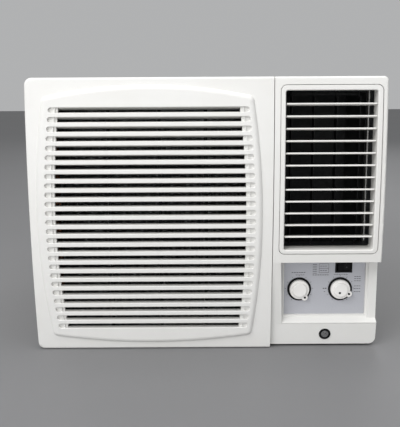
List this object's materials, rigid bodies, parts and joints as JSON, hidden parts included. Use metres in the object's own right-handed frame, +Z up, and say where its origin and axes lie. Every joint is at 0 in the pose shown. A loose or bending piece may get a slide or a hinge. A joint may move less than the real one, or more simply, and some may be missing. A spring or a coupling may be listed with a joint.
{
  "type": "window air conditioner",
  "caption": "Window room air conditioner: louvred intake grille that swings open, angled air outlet blades, two dials and a rocker, in a sleeve the works slide out of.",
  "frame": {"origin": "middle of the footprint, on the surface that the cabinet stands on", "axes": "+Z up, +Y from the room to the outdoors, +X to the right as seen from the room"},
  "size_m": [0.61, 0.68, 0.482],
  "materials": {
    "front_plastic": "fine-textured white moulding",
    "louver_plastic": "fine-textured white moulding",
    "knob_plastic": "satin off-white moulding",
    "fascia": "satin silver-grey",
    "black_plastic": "matt black moulding",
    "sleeve_paint": "baked enamel",
    "galvanised": "zinc-coated sheet",
    "compressor_paint": "black enamel",
    "rubber": "matt",
    "fins": "thin rolled fins",
    "copper": "drawn copper tube",
    "foam": "dark moulded foam",
    "fan_plastic": "dark moulding",
    "steel": "turned steel",
    "filter_plastic": "dark moulding",
    "filter_net": "woven nylon net",
    "badge_metal": "dark satin disc"
  },
  "bodies": {
    "cabinet": {"cabinet_sleeve": "sleeve_paint", "rear_guard": "sleeve_paint", "rear_guard_screws": "steel"},
    "chassis": {"base_pan": "galvanised", "compressor": "compressor_paint", "compressor_grommets": "rubber", "condenser_fins": "fins", "condenser_tubes": "copper", "evaporator_fins": "fins", "evaporator_tubes": "copper", "coil_end_plates": "galvanised", "partition": "galvanised", "fan_motor": "steel", "motor_bracket": "galvanised", "scroll_housing": "foam", "air_duct": "foam", "fan_shroud": "fan_plastic", "suction_pipe": "copper", "discharge_pipe": "copper", "capillary_tube": "copper", "control_box": "galvanised", "capacitor": "steel", "thermostat_body": "black_plastic", "selector_switch": "black_plastic", "control_fascia": "fascia", "dial_rings": "black_plastic", "rocker_frame": "black_plastic", "front_frame": "front_plastic", "cord_gland": "black_plastic", "badge": "badge_metal", "louver_bezel": "front_plastic", "vane_frame": "fan_plastic", "swing_motor": "steel"},
    "fan_rotor": {"motor_shaft": "steel", "blower_wheel": "fan_plastic", "condenser_fan": "fan_plastic"},
    "intake_grille": {"intake_grille": "front_plastic"},
    "filter": {"filter_frame": "filter_plastic", "filter_mesh": "filter_net"},
    "thermostat_knob": {"thermostat_knob": "knob_plastic"},
    "selector_knob": {"selector_knob": "knob_plastic"},
    "rocker_paddle": {"rocker_paddle": "black_plastic"},
    "blade_link": {"blade_link": "black_plastic"},
    "vane_link": {"vane_link": "black_plastic"},
    "louver_blade_01": {"louver_blade_01": "louver_plastic"},
    "louver_blade_02": {"louver_blade_02": "louver_plastic"},
    "louver_blade_03": {"louver_blade_03": "louver_plastic"},
    "louver_blade_04": {"louver_blade_04": "louver_plastic"},
    "louver_blade_05": {"louver_blade_05": "louver_plastic"},
    "louver_blade_06": {"louver_blade_06": "louver_plastic"},
    "louver_blade_07": {"louver_blade_07": "louver_plastic"},
    "louver_blade_08": {"louver_blade_08": "louver_plastic"},
    "louver_blade_09": {"louver_blade_09": "louver_plastic"},
    "louver_blade_10": {"louver_blade_10": "louver_plastic"},
    "louver_blade_11": {"louver_blade_11": "louver_plastic"},
    "louver_blade_12": {"louver_blade_12": "louver_plastic"},
    "air_vane_1": {"air_vane_1": "black_plastic"},
    "air_vane_2": {"air_vane_2": "black_plastic"},
    "air_vane_3": {"air_vane_3": "black_plastic"},
    "air_vane_4": {"air_vane_4": "black_plastic"}
  },
  "joints": [
    {"name": "chassis_slide", "type": "slide", "parent": "cabinet", "child": "chassis", "axis": [0, -1, 0], "range_m": [0, 0.45]},
    {"name": "grille_hinge", "type": "hinge", "parent": "chassis", "child": "intake_grille", "pos_m": [-0.3, -0.303, 0.241], "axis": [0, 0, -1], "range_deg": [0, 95]},
    {"name": "filter_slide", "type": "slide", "parent": "chassis", "child": "filter", "axis": [0, 0, 1], "range_m": [0, 0.4]},
    {"name": "thermostat_turn", "type": "hinge", "parent": "chassis", "child": "thermostat_knob", "pos_m": [0.167, -0.3, 0.104], "axis": [0, -1, 0], "range_deg": [0, 294]},
    {"name": "selector_turn", "type": "hinge", "parent": "chassis", "child": "selector_knob", "pos_m": [0.241, -0.3, 0.104], "axis": [0, -1, 0], "range_deg": [-27, 265]},
    {"name": "rocker_tilt", "type": "hinge", "parent": "chassis", "child": "rocker_paddle", "pos_m": [0.2467, -0.287, 0.1438], "axis": [0, 0, 1], "range_deg": [-16, 0]},
    {"name": "fan_spin", "type": "hinge", "parent": "chassis", "child": "fan_rotor", "pos_m": [-0.06, 0, 0.215], "axis": [0, 1, 0], "continuous": true},
    {"name": "blade_01_tilt", "type": "hinge", "parent": "chassis", "child": "louver_blade_01", "pos_m": [0.21, -0.31845, 0.2074], "axis": [1, 0, 0], "range_deg": [-27, 43]},
    {"name": "blade_02_tilt", "type": "hinge", "parent": "chassis", "child": "louver_blade_02", "pos_m": [0.21, -0.31917, 0.22813], "axis": [1, 0, 0], "range_deg": [-27, 43]},
    {"name": "blade_03_tilt", "type": "hinge", "parent": "chassis", "child": "louver_blade_03", "pos_m": [0.21, -0.31966, 0.24886], "axis": [1, 0, 0], "range_deg": [-27, 43]},
    {"name": "blade_04_tilt", "type": "hinge", "parent": "chassis", "child": "louver_blade_04", "pos_m": [0.21, -0.31994, 0.26959], "axis": [1, 0, 0], "range_deg": [-27, 43]},
    {"name": "blade_05_tilt", "type": "hinge", "parent": "chassis", "child": "louver_blade_05", "pos_m": [0.21, -0.31999, 0.29032], "axis": [1, 0, 0], "range_deg": [-27, 43]},
    {"name": "blade_06_tilt", "type": "hinge", "parent": "chassis", "child": "louver_blade_06", "pos_m": [0.21, -0.31983, 0.31105], "axis": [1, 0, 0], "range_deg": [-27, 43]},
    {"name": "blade_07_tilt", "type": "hinge", "parent": "chassis", "child": "louver_blade_07", "pos_m": [0.21, -0.31944, 0.33178], "axis": [1, 0, 0], "range_deg": [-27, 43]},
    {"name": "blade_08_tilt", "type": "hinge", "parent": "chassis", "child": "louver_blade_08", "pos_m": [0.21, -0.31883, 0.35251], "axis": [1, 0, 0], "range_deg": [-27, 43]},
    {"name": "blade_09_tilt", "type": "hinge", "parent": "chassis", "child": "louver_blade_09", "pos_m": [0.21, -0.318, 0.37324], "axis": [1, 0, 0], "range_deg": [-27, 43]},
    {"name": "blade_10_tilt", "type": "hinge", "parent": "chassis", "child": "louver_blade_10", "pos_m": [0.21, -0.31695, 0.39397], "axis": [1, 0, 0], "range_deg": [-27, 43]},
    {"name": "blade_11_tilt", "type": "hinge", "parent": "chassis", "child": "louver_blade_11", "pos_m": [0.21, -0.31568, 0.4147], "axis": [1, 0, 0], "range_deg": [-27, 43]},
    {"name": "blade_12_tilt", "type": "hinge", "parent": "chassis", "child": "louver_blade_12", "pos_m": [0.21, -0.31419, 0.43543], "axis": [1, 0, 0], "range_deg": [-27, 43]},
    {"name": "blade_link_pivot", "type": "hinge", "parent": "louver_blade_01", "child": "blade_link", "pos_m": [0.1367, -0.31053, 0.20629], "axis": [1, 0, 0], "range_deg": [-43, 27]},
    {"name": "vane_1_turn", "type": "hinge", "parent": "chassis", "child": "air_vane_1", "pos_m": [0.1482, -0.281, 0.32], "axis": [0, 0, 1], "range_deg": [-35, 35]},
    {"name": "vane_2_turn", "type": "hinge", "parent": "chassis", "child": "air_vane_2", "pos_m": [0.1874, -0.281, 0.32], "axis": [0, 0, 1], "range_deg": [-35, 35]},
    {"name": "vane_3_turn", "type": "hinge", "parent": "chassis", "child": "air_vane_3", "pos_m": [0.2266, -0.281, 0.32], "axis": [0, 0, 1], "range_deg": [-35, 35]},
    {"name": "vane_4_turn", "type": "hinge", "parent": "chassis", "child": "air_vane_4", "pos_m": [0.2658, -0.281, 0.32], "axis": [0, 0, 1], "range_deg": [-35, 35]},
    {"name": "vane_link_pivot", "type": "hinge", "parent": "air_vane_3", "child": "vane_link", "pos_m": [0.2266, -0.272, 0.451], "axis": [0, 0, 1], "range_deg": [-35, 35]}
  ],
  "couplings": [
    {"joint": "blade_02_tilt", "follows": "blade_01_tilt", "ratio": 1},
    {"joint": "blade_03_tilt", "follows": "blade_01_tilt", "ratio": 1},
    {"joint": "blade_04_tilt", "follows": "blade_01_tilt", "ratio": 1},
    {"joint": "blade_05_tilt", "follows": "blade_01_tilt", "ratio": 1},
    {"joint": "blade_06_tilt", "follows": "blade_01_tilt", "ratio": 1},
    {"joint": "blade_07_tilt", "follows": "blade_01_tilt", "ratio": 1},
    {"joint": "blade_08_tilt", "follows": "blade_01_tilt", "ratio": 1},
    {"joint": "blade_09_tilt", "follows": "blade_01_tilt", "ratio": 1},
    {"joint": "blade_10_tilt", "follows": "blade_01_tilt", "ratio": 1},
    {"joint": "blade_11_tilt", "follows": "blade_01_tilt", "ratio": 1},
    {"joint": "blade_12_tilt", "follows": "blade_01_tilt", "ratio": 1},
    {"joint": "blade_link_pivot", "follows": "blade_01_tilt", "ratio": -1},
    {"joint": "vane_1_turn", "follows": "vane_3_turn", "ratio": 1},
    {"joint": "vane_2_turn", "follows": "vane_3_turn", "ratio": 1},
    {"joint": "vane_4_turn", "follows": "vane_3_turn", "ratio": 1},
    {"joint": "vane_link_pivot", "follows": "vane_3_turn", "ratio": -1}
  ]
}
